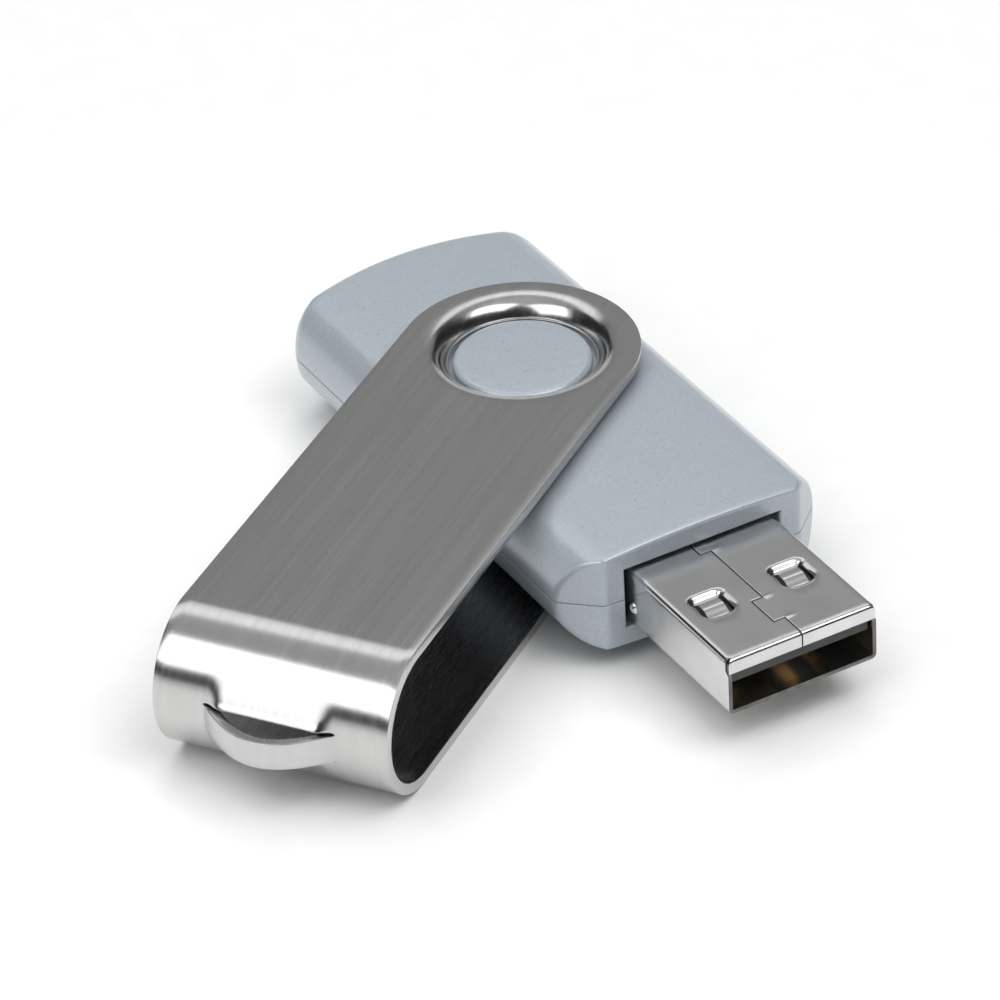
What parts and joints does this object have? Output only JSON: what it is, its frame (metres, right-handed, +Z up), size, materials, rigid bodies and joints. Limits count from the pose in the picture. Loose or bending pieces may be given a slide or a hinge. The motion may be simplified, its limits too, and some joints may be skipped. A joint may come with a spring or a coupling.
{
  "type": "swivel usb flash drive",
  "caption": "Flash drive with a grey plastic casing and metal plug, and a folded brushed steel cover that turns around round bosses and has a lanyard loop.",
  "frame": {"origin": "where the swivel axis meets the underside of the cover, which is the face the drive rests on", "axes": "+X towards the plug's tip, +Z up along the swivel axis, +Y to the side away from the open cover"},
  "size_m": [0.0558, 0.0504, 0.0111],
  "materials": {
    "casing_plastic": "satin silver-blue grey plastic with a fine metallic speckle",
    "cover_steel": "stainless sheet brushed along its length, polished on the bend",
    "plug_steel": "nickel-plated steel sheet, slightly worn",
    "insulator_plastic": "dark grey moulded plastic",
    "contact_gold": "thin gold plating",
    "board_green": "green solder mask on glass-fibre board",
    "chip_black": "black moulded epoxy",
    "lead_tin": "tinned copper",
    "crystal_metal": "nickel-plated lid",
    "led_clear": "clear epoxy",
    "ferrite_grey": "grey ferrite",
    "capacitor_tan": "tan ceramic",
    "resistor_black": "black glaze",
    "solder": "bright solder"
  },
  "bodies": {
    "drive": {"upper_casing": "casing_plastic", "lower_casing": "casing_plastic", "plug_shell": "plug_steel", "plug_insulator": "insulator_plastic", "contact_power": "contact_gold", "contact_data_minus": "contact_gold", "contact_data_plus": "contact_gold", "contact_ground": "contact_gold", "circuit_board": "board_green", "controller_chip": "chip_black", "controller_leads": "lead_tin", "flash_memory_chip": "chip_black", "flash_memory_leads": "lead_tin", "crystal_oscillator": "crystal_metal", "activity_led": "led_clear", "ferrite_bead": "ferrite_grey", "capacitors": "capacitor_tan", "resistors": "resistor_black", "contact_solder_joints": "solder", "shell_solder_joints": "solder"},
    "cover": {"swivel_cover": "cover_steel"}
  },
  "joints": [
    {"name": "cover_swivel", "type": "hinge", "parent": "drive", "child": "cover", "pos_m": [0, 0, 0.00555], "axis": [0, 0, 1], "continuous": true}
  ]
}
